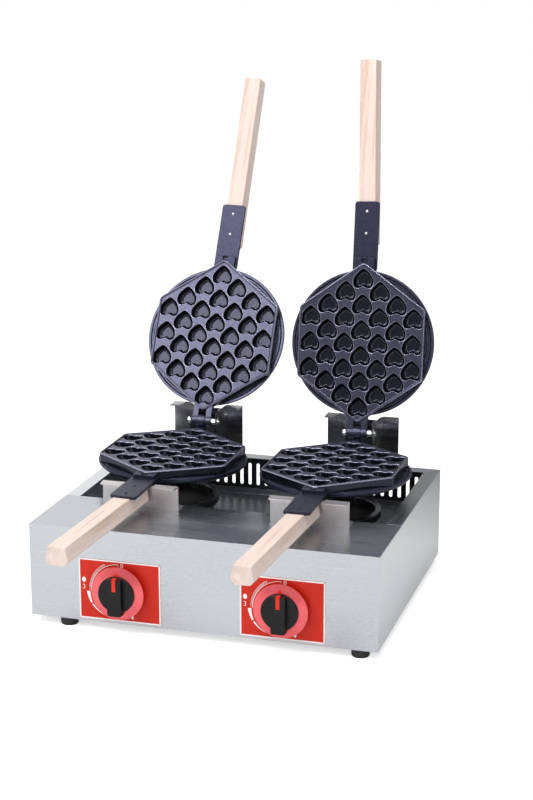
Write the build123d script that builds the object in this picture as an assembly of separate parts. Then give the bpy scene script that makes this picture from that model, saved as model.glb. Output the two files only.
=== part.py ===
from build123d import *
import math
import os

# A countertop gas waffle maker with two hinged heart-pocket pans, in millimetres.
# X runs along the front, Y from the front to the back and Z up from the table top.
# The shapes are drawn with Y = 0 at the front panel and are moved as they are written,
# so that the origin lies on the table under the middle of the whole object.

# Casing
BODY_W = 435.0
BODY_D = 359.0
FOOT_H = 10.0
BODY_H = 117.2
SHEET = 1.2
RIM_Z = FOOT_H + BODY_H
DECK_D = 118.5
RIM_W = 19.0
TRAY_Z = FOOT_H + 60.0
TRAY_LIP = 9.0
VENT_W = 4.6
VENT_PITCH = 11.6
VENT_TOP = RIM_Z - 12.5
VENT_H = 31.0
VENT_COUNT = 35
FOOT_R = 11.2
FOOT_X = (-172.0, 194.0)
FOOT_Y = (11.0, BODY_D - 11.0)
BODY_MIDDLE_Y = 211.05

# Screws
SCREW_R = 1.6
SCREW_L = 4.0
SCREW_HEAD = 1.7

# Pans: each half is a hexagonal cast plate on a round disc, with a neck for the handle
PAN_X = 108.5
PAN_ROLL = 1.2
HINGE_Y = 339.0
HINGE_Z = FOOT_H + 165.0
HINGE_RISE = 7.0
PLATE_REACH = 119.0
CLOSED_GAP = 0.4
LID_TILT = {"left": 25.8, "right": 12.5}
HEX_TIP = 107.0
HEX_SIDE = 85.0
HEX_SHOULDER = 46.5
HEX_ROUND = 8.0
SLAB_T = 11.0
RIM_RAISE = 1.0
RIM_LINE = 2.4
DISC_R = 96.5
DISC_EDGE = 3.5
DISC_CHAMFER = 3.5
BASE_UNDER = 15.0
SKIRT_UNDER = 18.0
GROOVE_R = (88.0, 91.0)
GROOVE_DEEP = 1.8

# Heart pockets: seven columns of 3, 4, 5, 6, 5, 4 and 3
HEART_PITCH = 34.0
HEART_COLUMN = 23.16
HEART_DEPTH = 10.5
HEART_TAPER = 14.0
LOBE_R = 7.0
LOBE_X = 6.5
LOBE_Y = 4.6
TIP_Y = -12.6
TIP_HALF = 1.3
NOTCH_Y = 9.1

# Neck and wooden handle, measured from the plate's centre
NECK_W = 33.0
NECK_T = 4.0
NECK_DROP = 6.5
NECK_START = 84.0
BRIDGE_END = 113.0
BRIDGE_DROP = 2.0
BRIDGE_UNDER = 11.0
NECK_END = 187.0
RECESS_AT = 109.5
RECESS_HALF = 2.8
RIVET_AT = (145.0, 174.0)
RIVET_R = 2.0
WOOD_START = 131.0
WOOD_END = 374.0
WOOD_DROP = 9.5
WOOD_HALF_TOP = 10.6
WOOD_HALF = 13.8
WOOD_DEEP = 22.5
WOOD_EDGE = 4.5
WOOD_CORNER = 5.0
WOOD_SKEW = {
    ("lower", "left"): -2.0, ("lower", "right"): -2.5,
    ("upper", "left"): 1.0, ("upper", "right"): -1.7,
}

# Hinge
KNUCKLE_R = 8.0
KNUCKLE_HALF = 5.1
LUG_IN = 5.3
LUG_OUT = 13.2
BOLT_R = 2.5
BOLT_FIT = 0.05
BOLT_HEAD_AF = 8.0
BOLT_HEAD_T = 3.5
BOLT_HEAD_X = -15.8
BOLT_END_X = 24.5
WASHER_R = 5.0
WASHER_T = 1.0
NUT_T = 5.0

# Brackets that carry the pans
BRACKET_T = 1.5
FRONT_Y = 95.0
FRONT_W = 99.0
FRONT_H = 31.3
FRONT_LEDGE = 12.5
FRONT_FOOT = 19.0
NOTCH_W = 38.0
NOTCH_DEEP = 1.5
REAR_Y = 357.0
REAR_W = 97.0
REAR_H = 67.5
REAR_SHIFT = 3.2
REAR_LEDGE = 20.0
REAR_LEDGE_W = 16.0
REAR_FOOT = 15.0
WINDOW_W = 34.8
WINDOW_LOW = 20.0
WINDOW_ROUND = 12.0
EAR_T = 1.2
EAR_X = 18.0
EAR_Y = 333.5
EAR_H = 62.0
SLOT_W = 6.0
SLOT_GAP = 0.2

# Burners
BURNER_Y = 216.0
BURNER_R = 60.0
BURNER_RIM_W = 6.0
BURNER_TOP = FOOT_H + 100.0
BOWL_DEEP = 14.0
RING_T = 1.5
RING_WALL = 10.0
SLIT_COUNT = 40
LEG_R = 4.0
LEG_TURNS = (30, 150, 210, 330)
CERAMIC_R = 2.5
IGNITER_AT = 46.0
IGNITER_TURN = -60
RISER_AT = 40.0
VENTURI_R = 9.0
VENTURI_Z = 86.0
VENTURI_FRONT = 101.0

# Gas control
KNOB_X = 101.7
KNOB_Z = FOOT_H + 41.8
PLATE_W = 104.0
PLATE_H = 76.5
PLATE_T = 0.6
SKIRT_R = 33.2
SKIRT_T = 6.0
GRIP_R = 22.8
GRIP_T = 3.0
BAR_W = 19.0
BAR_T = 9.0
BAR_TOP = 21.8
BAR_LOW = 25.8
POINTER_W = 4.6
POINTER_LOW = 6.5
KNOB_GAP = 5.0
STEM_R = 4.0
RAIL_R = 7.0
RAIL_Y = 44.0
RAIL_Z = 27.0
RAIL_X = 178.0
INLET_R = 4.75
INLET_L = 24.0

SIDES = {"left": -1, "right": 1}
os.makedirs("parts", exist_ok=True)


def write(node, shape):
    """Move a finished shape to the shared origin and write it as one file."""
    moved = Pos(0, -BODY_MIDDLE_Y, 0) * shape
    export_step(moved, f"parts/{node}.step")


def block(x0, x1, y0, y1, z0, z1):
    """A box between two corners."""
    middle = ((x0 + x1) / 2, (y0 + y1) / 2, (z0 + z1) / 2)
    return Pos(*middle) * Box(x1 - x0, y1 - y0, z1 - z0)


def rod_x(radius, x0, x1, y, z):
    return Pos((x0 + x1) / 2, y, z) * Rot(0, 90, 0) * Cylinder(radius, x1 - x0)


def rod_y(radius, y0, y1, x, z):
    return Pos(x, (y0 + y1) / 2, z) * Rot(90, 0, 0) * Cylinder(radius, y1 - y0)


def rod_z(radius, z0, z1, x, y):
    return Pos(x, y, (z0 + z1) / 2) * Cylinder(radius, z1 - z0)


def prism(points, low, high):
    """An upright solid with the given outline between two heights."""
    outline = Pos(0, 0, low) * Polygon(*points, align=None)
    return extrude(outline, high - low, dir=(0, 0, 1))


def turned(points):
    """A solid of revolution about Z from (radius, height) points."""
    outline = Plane.XZ * Polygon(*points, align=None)
    return revolve(outline, Axis.Z)


def screw():
    """A pan-head screw whose head stands on Z = 0 with its shank below."""
    shank = SCREW_R - 0.02
    return turned([
        (0, -SCREW_L), (shank, -SCREW_L), (shank, 0), (2 * shank, 0),
        (2 * shank, SCREW_HEAD * 0.5), (1.2 * shank, SCREW_HEAD), (0, SCREW_HEAD),
    ])


# Casing

def front_panel():
    """The front and the deck, one sheet bent over the front edge, with a lip below."""
    half = BODY_W / 2
    front = block(-half, half, 0, SHEET, FOOT_H, RIM_Z)
    deck = block(-half, half, 0, DECK_D, RIM_Z - SHEET, RIM_Z)
    lip = block(-half + 2, half - 2, SHEET, 16, FOOT_H + SHEET, FOOT_H + 2 * SHEET)
    panel = front + deck + lip
    for side in SIDES.values():
        panel -= rod_y(STEM_R + 2, -1, SHEET + 1, side * KNOB_X, KNOB_Z)
    return drill_screw_holes(panel)


def side_panel(side):
    """A side sheet with the rim folded inwards beside the well, mitred at the back."""
    outer = side * BODY_W / 2
    inner = outer - side * SHEET
    low, high = sorted((outer, inner))
    wall = block(low, high, SHEET, BODY_D, FOOT_H, RIM_Z - SHEET)
    rim_in = outer - side * RIM_W
    rim = [(outer, DECK_D), (outer, BODY_D), (rim_in, BODY_D - RIM_W), (rim_in, DECK_D)]
    return wall + prism(rim, RIM_Z - SHEET, RIM_Z)


def rear_panel():
    """The back sheet with its row of vent slots and its rim folded forwards."""
    half = BODY_W / 2
    inner = half - SHEET
    wall = block(-inner, inner, BODY_D - SHEET, BODY_D, FOOT_H, RIM_Z - SHEET)
    front = BODY_D - RIM_W
    rim = [(-half, BODY_D), (half, BODY_D), (half - RIM_W, front), (RIM_W - half, front)]
    slots = Sketch() + [
        Pos(x * VENT_PITCH, VENT_TOP - VENT_H / 2) * SlotOverall(VENT_H, VENT_W, rotation=90)
        for x in range(-(VENT_COUNT // 2), VENT_COUNT // 2 + 1)
    ]
    panel = wall - extrude(Plane.XZ.offset(-BODY_D - 1) * slots, SHEET + 2)
    panel -= rod_y(RAIL_R + 1, BODY_D - 3, BODY_D + 1, RAIL_X, RAIL_Z)
    for x, z in casing_screw_places():
        panel -= rod_y(SCREW_R, BODY_D - 3, BODY_D + 1, x, z)
    panel += prism(rim, RIM_Z - SHEET, RIM_Z)
    return drill_screw_holes(panel)


def base_plate():
    """The floor sheet, with its edges turned up and a cooling opening under each burner."""
    x = BODY_W / 2 - SHEET
    back = BODY_D - SHEET
    floor = block(-x, x, SHEET, back, FOOT_H, FOOT_H + SHEET)
    for side in SIDES.values():
        floor -= rod_z(34, FOOT_H - 1, FOOT_H + 3, side * PAN_X, BURNER_Y)
        edge = sorted((side * x, side * (x - SHEET)))
        floor += block(*edge, 20, back, FOOT_H, FOOT_H + 12)
    return floor


def burner_tray():
    """The raised floor of the well, closed to the controls by a wall at its front."""
    x = BODY_W / 2 - SHEET
    front = DECK_D - 2 * SHEET
    back = BODY_D - SHEET
    tray = block(-x, x, front, back, TRAY_Z, TRAY_Z + SHEET)
    tray += block(-x, x, front, front + SHEET, TRAY_Z, RIM_Z - SHEET)
    tray += block(-x, x, back - SHEET, back, TRAY_Z, TRAY_Z + TRAY_LIP)
    for side in SIDES.values():
        edge = sorted((side * x, side * (x - SHEET)))
        tray += block(*edge, front, back, TRAY_Z, TRAY_Z + TRAY_LIP)
        tray -= rod_y(VENTURI_R + 1.5, front - 1, front + 3, side * PAN_X, VENTURI_Z)
    return tray


def rubber_feet():
    """Four rubber feet under the corners."""
    foot = turned([
        (0, 0), (FOOT_R - 1.2, 0), (FOOT_R - 0.3, 1.5), (FOOT_R, FOOT_H), (0, FOOT_H),
    ])
    return [Pos(x, y, 0) * foot for x in FOOT_X for y in FOOT_Y]


def casing_screw_places():
    """Where the back panel is screwed on: three along its foot and one up each edge."""
    low, high = FOOT_H + 8.0, FOOT_H + 50.0
    return [(-205.0, low), (0.0, low), (205.0, low), (-205.0, high), (205.0, high)]


def casing_screws():
    """Screws along the back panel's edges, heads outwards."""
    head_out = Rot(-90, 0, 0) * screw()
    return [Pos(x, BODY_D, z) * head_out for x, z in casing_screw_places()]


# Brackets

def front_bracket(side):
    """A bent sheet on the deck; its notch carries the neck of the pan."""
    x = side * PAN_X
    x0, x1 = x - FRONT_W / 2, x + FRONT_W / 2
    top = RIM_Z + FRONT_H
    face = block(x0, x1, FRONT_Y, FRONT_Y + BRACKET_T, RIM_Z, top)
    front = FRONT_Y - FRONT_LEDGE
    ledge = [(x0, FRONT_Y + 1), (x0 + 1.5, front), (x1 - 1.5, front), (x1, FRONT_Y + 1)]
    foot = block(x0, x1, FRONT_Y, FRONT_Y + FRONT_FOOT, RIM_Z, RIM_Z + BRACKET_T)
    bracket = face + foot + prism(ledge, top - BRACKET_T, top)
    notch = block(
        x - NOTCH_W / 2, x + NOTCH_W / 2, FRONT_Y - FRONT_LEDGE - 1, FRONT_Y + 5,
        top - NOTCH_DEEP, top + 1,
    )
    return drill_screw_holes(bracket - notch)


def rear_bracket(side):
    """A tall sheet on the rear rim with a round-shouldered window and two slotted ears."""
    x = side * PAN_X + REAR_SHIFT
    half = REAR_W / 2
    top = RIM_Z + REAR_H
    sheet = block(x - half, x + half, REAR_Y, REAR_Y + BRACKET_T, RIM_Z, top)
    window = block(
        x - WINDOW_W / 2, x + WINDOW_W / 2, REAR_Y - 1, REAR_Y + 3, RIM_Z + WINDOW_LOW, top + 1,
    )
    bracket = sheet - window
    shoulder = bracket.edges().filter_by(Axis.Y).group_by(Axis.Z)[-1].sort_by(Axis.X)[1:3]
    bracket = fillet(shoulder, WINDOW_ROUND)
    bracket += block(x - half, x + half, REAR_Y - REAR_FOOT, REAR_Y, RIM_Z, RIM_Z + BRACKET_T)
    for way in (-1, 1):
        edge = x + way * half
        inner = edge - way * REAR_LEDGE_W
        front = REAR_Y - REAR_LEDGE
        ledge = [
            (edge, REAR_Y + 1), (edge - way * 0.5, front), (inner + way * 3, front),
            (inner, REAR_Y - 6), (inner, REAR_Y + 1),
        ]
        bracket += prism(ledge, top - BRACKET_T, top)
        bracket += ear(x + way * EAR_X, side)
    return drill_screw_holes(bracket)


def ear(x, side):
    """A tab in the YZ plane with an open slot that the rolled hinge bolt drops into."""
    outline = Polygon(
        (EAR_Y, RIM_Z + WINDOW_LOW + 6), (REAR_Y, RIM_Z + WINDOW_LOW),
        (REAR_Y, RIM_Z + EAR_H), (EAR_Y, RIM_Z + EAR_H), align=None,
    )
    rise = side * (x - side * PAN_X) * math.tan(math.radians(PAN_ROLL))
    slot_low = HINGE_Z + rise - BOLT_R - SLOT_GAP
    slot = Pos(HINGE_Y, slot_low + SLOT_W / 2) * Circle(SLOT_W / 2)
    slot += Pos(HINGE_Y, slot_low + SLOT_W / 2 + 20) * Rectangle(SLOT_W, 40)
    return extrude(Plane.YZ.offset(x - EAR_T / 2) * (outline - slot), EAR_T)


def bracket_screw_places():
    """Two screws in the foot of each bracket."""
    places = []
    for side in SIDES.values():
        for way in (-1, 1):
            places.append((side * PAN_X + way * 36, FRONT_Y + 12.0))
            places.append((side * PAN_X + REAR_SHIFT + way * 36, REAR_Y - 8.0))
    return places


def drill_screw_holes(shape):
    """Pierce a bracket foot or the sheet under it for the bracket screws."""
    for x, y in bracket_screw_places():
        shape -= rod_z(SCREW_R, RIM_Z - 4, RIM_Z + 4, x, y)
    return shape


def bracket_screws():
    """The screws that hold the four bracket feet down."""
    return [Pos(x, y, RIM_Z + BRACKET_T) * screw() for x, y in bracket_screw_places()]


# Pans, drawn closed about the hinge's centre with the handle towards -Y

def hexagon(inset=0.0):
    """The rounded hexagon of a plate, pointing along Y, drawn about its own centre."""
    tip = HEX_TIP - inset * 1.22
    side = HEX_SIDE - inset
    shoulder = HEX_SHOULDER - inset * 0.52
    outline = Polygon(
        (0, tip), (-side, shoulder), (-side, -shoulder),
        (0, -tip), (side, -shoulder), (side, shoulder), align=None,
    )
    return fillet(outline.vertices(), HEX_ROUND)


def heart():
    """One heart outline, point towards the handle, its lobes cut as short flats."""
    lobe = []
    for step in range(4):
        angle = math.radians(-28 + 46 * step)
        lobe.append((LOBE_X + LOBE_R * math.cos(angle), LOBE_Y + LOBE_R * math.sin(angle)))
    left = [(-x, y) for x, y in reversed(lobe)]
    tip = (-TIP_HALF, TIP_Y), (TIP_HALF, TIP_Y)
    return Polygon(*tip, *lobe, (0, NOTCH_Y), *left, align=None)


def heart_places():
    """The centres of the thirty pockets."""
    places = []
    for column in range(-3, 4):
        count = 6 - abs(column)
        for row in range(count):
            places.append((column * HEART_COLUMN, (row - (count - 1) / 2) * HEART_PITCH))
    return places


def cast_plate():
    """A plate with its face up, without its hinge: slab, disc, pockets and neck."""
    slab = extrude(hexagon(), -SLAB_T)
    inner_rim = DISC_R - 9
    disc = turned([
        (0, -SLAB_T + 2), (GROOVE_R[0] - 3, -SLAB_T + 2), (GROOVE_R[0] - 3, -SLAB_T),
        (GROOVE_R[0], -SLAB_T), (GROOVE_R[0], -SLAB_T - GROOVE_DEEP),
        (GROOVE_R[1], -SLAB_T - GROOVE_DEEP), (GROOVE_R[1], -SLAB_T),
        (DISC_R, -SLAB_T), (DISC_R, -SLAB_T - DISC_EDGE),
        (DISC_R - DISC_CHAMFER, -SKIRT_UNDER),
        (inner_rim, -SKIRT_UNDER), (inner_rim, -BASE_UNDER), (0, -BASE_UNDER),
    ])
    plate = slab + disc
    plate += block(
        -NECK_W / 2 + 2.5, NECK_W / 2 - 2.5, -BRIDGE_END, -NECK_START,
        -BRIDGE_UNDER, -BRIDGE_DROP,
    )
    neck = Pos(0, -(NECK_END + NECK_START) / 2) * Rectangle(NECK_W, NECK_END - NECK_START)
    far_corners = neck.vertices().group_by(Axis.Y)[0]
    neck = fillet(far_corners, 5)
    plate += extrude(Pos(0, 0, -NECK_DROP - NECK_T) * neck, NECK_T)
    plate -= block(-4.2, 4.2, -RECESS_AT - RECESS_HALF, -RECESS_AT + RECESS_HALF, -5.5, 1)
    for at in RIVET_AT:
        plate -= rod_z(RIVET_R, -SKIRT_UNDER, 0, 0, -at)
    plate -= extrude(Pos(0, 0, -RIM_RAISE) * hexagon(RIM_LINE), 2)
    pocket = extrude(Pos(0, 0, -RIM_RAISE) * heart(), -HEART_DEPTH, taper=HEART_TAPER)
    return plate - [Pos(x, y, 0) * pocket for x, y in heart_places()]


def to_hinge(shape, upper):
    """Put a half on the hinge's centre, face up below the parting plane or face down above."""
    face = -HINGE_RISE
    if upper:
        shape = mirror(shape, about=Plane.XY)
        face += CLOSED_GAP
    return Pos(0, -PLATE_REACH, face) * shape


def bolt_bore(shape):
    return shape - rod_x(BOLT_R + BOLT_FIT, -30, 30, 0, 0)


def lower_plate(plate):
    """The lower half, with one knuckle between the lid's lugs."""
    body = to_hinge(plate, upper=False)
    body += rod_x(KNUCKLE_R, -KNUCKLE_HALF, KNUCKLE_HALF, 0, 0)
    body += block(-KNUCKLE_HALF, KNUCKLE_HALF, -22, 0, -17, -7.4)
    return bolt_bore(body)


def upper_plate(plate):
    """The lid, with a lug each side of the knuckle."""
    body = to_hinge(plate, upper=True)
    for way in (-1, 1):
        x0, x1 = sorted((way * LUG_IN, way * LUG_OUT))
        body += rod_x(KNUCKLE_R, x0, x1, 0, 0)
        body += block(x0, x1, -21.5, 0, -6.6, 3.5)
    return bolt_bore(body)


def handle(skew):
    """A wooden half-handle, eight-sided, lapped under the neck and riveted on a little askew."""
    top = -WOOD_DROP
    low = top - WOOD_DEEP
    section = Polygon(
        (-WOOD_HALF_TOP, top), (WOOD_HALF_TOP, top), (WOOD_HALF, top - WOOD_EDGE),
        (WOOD_HALF, low + WOOD_CORNER), (WOOD_HALF - WOOD_CORNER, low),
        (WOOD_CORNER - WOOD_HALF, low), (-WOOD_HALF, low + WOOD_CORNER),
        (-WOOD_HALF, top - WOOD_EDGE), align=None,
    )
    length = WOOD_END - WOOD_START
    wood = extrude(Plane.XZ.offset(WOOD_START) * section, length, dir=(0, -1, 0))
    pivot = sum(RIVET_AT) / 2
    wood = Pos(0, -pivot, 0) * Rot(0, 0, skew) * Pos(0, pivot, 0) * wood
    wood -= block(-20, 20, -NECK_END - 0.2, -WOOD_START + 3, -NECK_DROP - NECK_T, 1)
    for at in RIVET_AT:
        wood -= rod_z(RIVET_R, low - 1, 0, 0, -at)
    return wood


def rivets():
    """Two rivets through the neck and the wood, a round head at each end."""
    top = -NECK_DROP
    low = -WOOD_DROP - WOOD_DEEP
    rivet = turned([
        (0, low - 1.2), (1.6, low - 1.2), (3.0, low), (RIVET_R, low),
        (RIVET_R, top), (3.0, top), (1.6, top + 1.2), (0, top + 1.2),
    ])
    return [Pos(0, -at, 0) * rivet for at in RIVET_AT]


def hinge_bolt():
    """A hexagon bolt along X, its head outside the left ear."""
    head = extrude(
        Plane.YZ.offset(BOLT_HEAD_X - BOLT_HEAD_T)
        * RegularPolygon(BOLT_HEAD_AF / 2, 6, major_radius=False), BOLT_HEAD_T,
    )
    return head + rod_x(BOLT_R, BOLT_HEAD_X, BOLT_END_X, 0, 0)


def hinge_nut():
    """A washer and a lock nut against the right lug."""
    start = LUG_OUT + 0.2
    hole = rod_x(BOLT_R, 0, 40, 0, 0)
    washer = rod_x(WASHER_R, start, start + WASHER_T, 0, 0) - hole
    nut = extrude(
        Plane.YZ.offset(start + WASHER_T)
        * RegularPolygon(BOLT_HEAD_AF / 2, 6, major_radius=False), NUT_T,
    )
    return [washer, nut - hole]


# Burners

def burner_bowl():
    """A cast dish on four legs; the space in its rim carries the gas."""
    inner = BURNER_R - BURNER_RIM_W
    bowl = turned([
        (BURNER_R, -RING_T), (inner, -RING_T), (inner, -RING_WALL), (0, -RING_WALL - 1),
        (0, -BOWL_DEEP), (BURNER_R - 5, -BOWL_DEEP), (BURNER_R, -BOWL_DEEP + 5),
    ])
    leg_low = TRAY_Z + SHEET - BURNER_TOP
    leg = rod_z(LEG_R, leg_low, -BOWL_DEEP + 2, inner - LEG_R, 0)
    for turn in LEG_TURNS:
        bowl += Rot(0, 0, turn) * leg
    hole = rod_z(CERAMIC_R, -BOWL_DEEP - 1, 0, IGNITER_AT, 0)
    return bowl - Rot(0, 0, IGNITER_TURN) * hole


def burner_ring():
    """The flat rim of the dish and the wall of flame slits that hangs inside it."""
    inner = BURNER_R - BURNER_RIM_W - 0.05
    ring = turned([
        (BURNER_R, -RING_T), (BURNER_R, 0), (inner - 1, 0), (inner - 1.5, -1),
        (inner - 1.5, 0.1 - RING_WALL), (inner, 0.1 - RING_WALL), (inner, -RING_T),
    ])
    slit = block(inner - 3, inner + 1, -0.8, 0.8, 1.5 - RING_WALL, -RING_T - 1)
    step = 360 / SLIT_COUNT
    return ring - [Rot(0, 0, (turn + 0.5) * step) * slit for turn in range(SLIT_COUNT)]


def venturi():
    """The mixing tube: a bell at the front, a straight run and a riser to the dish."""
    z = VENTURI_Z - BURNER_TOP
    start = VENTURI_FRONT - BURNER_Y
    wall = 1.5
    bell = Rot(90, 0, 0) * Cone(VENTURI_R, VENTURI_R + 3, 10)
    run = rod_y(VENTURI_R, start + 10, -RISER_AT, 0, z) + Pos(0, start + 5, z) * bell
    run += rod_z(VENTURI_R, z, -BOWL_DEEP, 0, -RISER_AT)
    run += Pos(0, -RISER_AT, z) * Sphere(VENTURI_R)
    inside = rod_y(VENTURI_R - wall, start - 1, -RISER_AT, 0, z)
    inside += rod_z(VENTURI_R - wall, z, 0, 0, -RISER_AT)
    return run - inside


def igniter():
    """The spark electrode, a ceramic rod with a wire beside the flame slits."""
    ceramic = rod_z(CERAMIC_R - 0.02, -BOWL_DEEP - 4, 2 - RING_WALL, IGNITER_AT, 0)
    wire = rod_z(0.8, 2 - RING_WALL, -RING_T, IGNITER_AT, 0)
    return ceramic + wire


# Gas control, drawn about the knob's axis with Y = 0 at the front panel

def control_plate():
    """The thin red plate behind the knob."""
    plate = block(-PLATE_W / 2, PLATE_W / 2, -PLATE_T, 0, -PLATE_H / 2, PLATE_H / 2)
    corners = plate.edges().filter_by(Axis.Y)
    return fillet(corners, 1.5) - rod_y(STEM_R + 2, -3, 3, 0, 0)


def facing_front(points):
    """A turned shape whose height runs out of the front, towards -Y."""
    return Rot(90, 0, 0) * turned(points)


def knob_skirt():
    """The metallic cone that frames the grip."""
    back = PLATE_T + KNOB_GAP
    front = back + SKIRT_T
    return facing_front([
        (GRIP_R - 4, back + 2), (SKIRT_R - 1.5, back), (SKIRT_R, back + 1.5),
        (SKIRT_R, back + 3), (GRIP_R + 1.5, front), (GRIP_R - 4, front),
    ])


def knob_grip():
    """The black cap with its bar and the boss that takes the stem."""
    back = PLATE_T + KNOB_GAP
    front = back + SKIRT_T
    cap = facing_front([
        (0, back + 1), (GRIP_R - 4, back + 1), (GRIP_R - 4, front), (GRIP_R, front),
        (GRIP_R, front + GRIP_T - 1), (GRIP_R - 1, front + GRIP_T), (0, front + GRIP_T),
    ])
    outline = Pos(0, (BAR_TOP - BAR_LOW) / 2) * RectangleRounded(BAR_W, BAR_TOP + BAR_LOW, 3)
    bar = extrude(Plane.XZ.offset(front + 0.05) * outline, BAR_T - 0.05, taper=5)
    bore = rod_y(STEM_R, -back - 9, 0, 0, 0)
    face = front + BAR_T
    half = POINTER_W / 2
    recess = block(-half, half, -60, 1.2 - face, POINTER_LOW, BAR_TOP + 3)
    return cap + bar - bore - recess


def knob_pointer():
    """The red line set into the bar."""
    back = PLATE_T + KNOB_GAP
    face = back + SKIRT_T + BAR_T
    half = POINTER_W / 2
    return block(-half, half, -face - 0.4, -face + 1.2, POINTER_LOW, BAR_TOP - 0.9)


def valve_stem():
    """The stem from the knob back into the valve plug, with a flat along it."""
    front = -(PLATE_T + KNOB_GAP + 9)
    stem = rod_y(STEM_R, front, 22, 0, 0)
    return stem - block(-5, 5, front - 1, 4, STEM_R - 1.2, STEM_R + 1)


def valve_body():
    """A brass body clamped on the rail, bored for its plug, with an outlet at the back."""
    body = rod_y(13, 12, 50, 0, 0) + block(-15, 15, 24, 48, -15, 10)
    body += block(-11, 11, 34, 54, RAIL_Z - KNOB_Z + RAIL_R, -10)
    body += rod_y(6, 48, 58, 0, 0)
    return body - rod_y(9.08, 11, 42, 0, 0)


def valve_plug():
    """The turning plug, with a blind bore for the stem and a cross port."""
    plug = rod_y(9.0, 13, 41.8, 0, 0)
    plug -= rod_y(STEM_R + 0.05, 12, 27.5, 0, 0)
    return plug - rod_z(2.5, -12, 12, 0, 36)


def gas_pipe(side):
    """The bent pipe from the valve up to the injector, at its real place."""
    x0 = side * KNOB_X
    x1 = side * PAN_X
    path = FilletPolyline(
        (x0, 58, KNOB_Z), (x0, 78, KNOB_Z), (x1, 78, VENTURI_Z), (x1, 94, VENTURI_Z), radius=7,
    )
    section = Plane(origin=(x0, 58, KNOB_Z), z_dir=(0, 1, 0)) * Circle(3)
    return sweep(section, path)


def injector():
    """The brass jet holder in the mouth of the mixing tube."""
    return Pos(0, 94, 0) * Rot(-90, 0, 0) * turned([
        (0, 0), (5.5, 0), (5.5, 6), (3.5, 7), (3.5, 10), (1.5, 12), (0, 12),
    ])


def gas_rail():
    """The supply pipe that feeds both valves and runs back under the tray."""
    path = FilletPolyline(
        (-KNOB_X - 16, RAIL_Y, RAIL_Z), (RAIL_X, RAIL_Y, RAIL_Z), (RAIL_X, BODY_D - 4, RAIL_Z),
        radius=22,
    )
    section = Plane(origin=(-KNOB_X - 16, RAIL_Y, RAIL_Z), z_dir=(1, 0, 0)) * Circle(RAIL_R)
    return sweep(section, path)


def gas_inlet():
    """The hexagon nut and hose tail that stand out of the back."""
    start = BODY_D - 4
    flange = Plane.XZ.offset(-BODY_D - 8) * RegularPolygon(10, 6, major_radius=False)
    inlet = extrude(flange, 8)
    inlet += rod_y(RAIL_R, start, BODY_D, 0, 0)
    return inlet + rod_y(INLET_R, BODY_D + 8, BODY_D + 8 + INLET_L, 0, 0)


def build_casing():
    write("front_panel", front_panel())
    write("side_panel_left", side_panel(-1))
    write("side_panel_right", side_panel(1))
    write("rear_panel", rear_panel())
    write("base_plate", base_plate())
    write("burner_tray", burner_tray())
    write("rubber_feet", Compound(rubber_feet()))
    write("casing_screws", Compound(casing_screws()))
    write("bracket_screws", Compound(bracket_screws()))
    write("gas_rail", gas_rail())
    write("gas_inlet", Pos(RAIL_X, 0, RAIL_Z) * gas_inlet())


def build_burner(name, side):
    at = Pos(side * PAN_X, BURNER_Y, BURNER_TOP)
    write(f"burner_bowl_{name}", at * burner_bowl())
    write(f"burner_ring_{name}", at * burner_ring())
    write(f"venturi_{name}", at * venturi())
    write(f"igniter_{name}", at * Rot(0, 0, IGNITER_TURN) * igniter())
    write(f"injector_{name}", Pos(side * PAN_X, 0, VENTURI_Z) * injector())
    write(f"gas_pipe_{name}", gas_pipe(side))


def build_control(name, side):
    at = Pos(side * KNOB_X, 0, KNOB_Z)
    write(f"control_plate_{name}", at * control_plate())
    write(f"knob_skirt_{name}", at * knob_skirt())
    write(f"knob_grip_{name}", at * knob_grip())
    write(f"knob_pointer_{name}", at * knob_pointer())
    write(f"valve_stem_{name}", at * valve_stem())
    write(f"valve_plug_{name}", at * valve_plug())
    write(f"valve_body_{name}", at * valve_body())


def build_pan(name, side, plate):
    seat = Pos(side * PAN_X, HINGE_Y, HINGE_Z) * Rot(0, -side * PAN_ROLL, 0)
    opened = seat * Rot(-90 - LID_TILT[name], 0, 0)
    write(f"lower_plate_{name}", seat * lower_plate(plate))
    write(f"lower_handle_{name}", seat * to_hinge(handle(WOOD_SKEW["lower", name]), upper=False))
    write(f"lower_rivets_{name}", seat * to_hinge(Compound(rivets()), upper=False))
    write(f"hinge_bolt_{name}", seat * hinge_bolt())
    write(f"hinge_nut_{name}", seat * Compound(hinge_nut()))
    write(f"upper_plate_{name}", opened * upper_plate(plate))
    write(f"upper_handle_{name}", opened * to_hinge(handle(WOOD_SKEW["upper", name]), upper=True))
    write(f"upper_rivets_{name}", opened * to_hinge(Compound(rivets()), upper=True))


build_casing()
plate_casting = cast_plate()
for side_name, side_sign in SIDES.items():
    write(f"front_bracket_{side_name}", front_bracket(side_sign))
    write(f"rear_bracket_{side_name}", rear_bracket(side_sign))
    build_burner(side_name, side_sign)
    build_control(side_name, side_sign)
    build_pan(side_name, side_sign, plate_casting)
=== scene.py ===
import math

import bmesh
import bpy
from mathutils import Matrix, Vector
from mathutils.geometry import delaunay_2d_cdt


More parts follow.
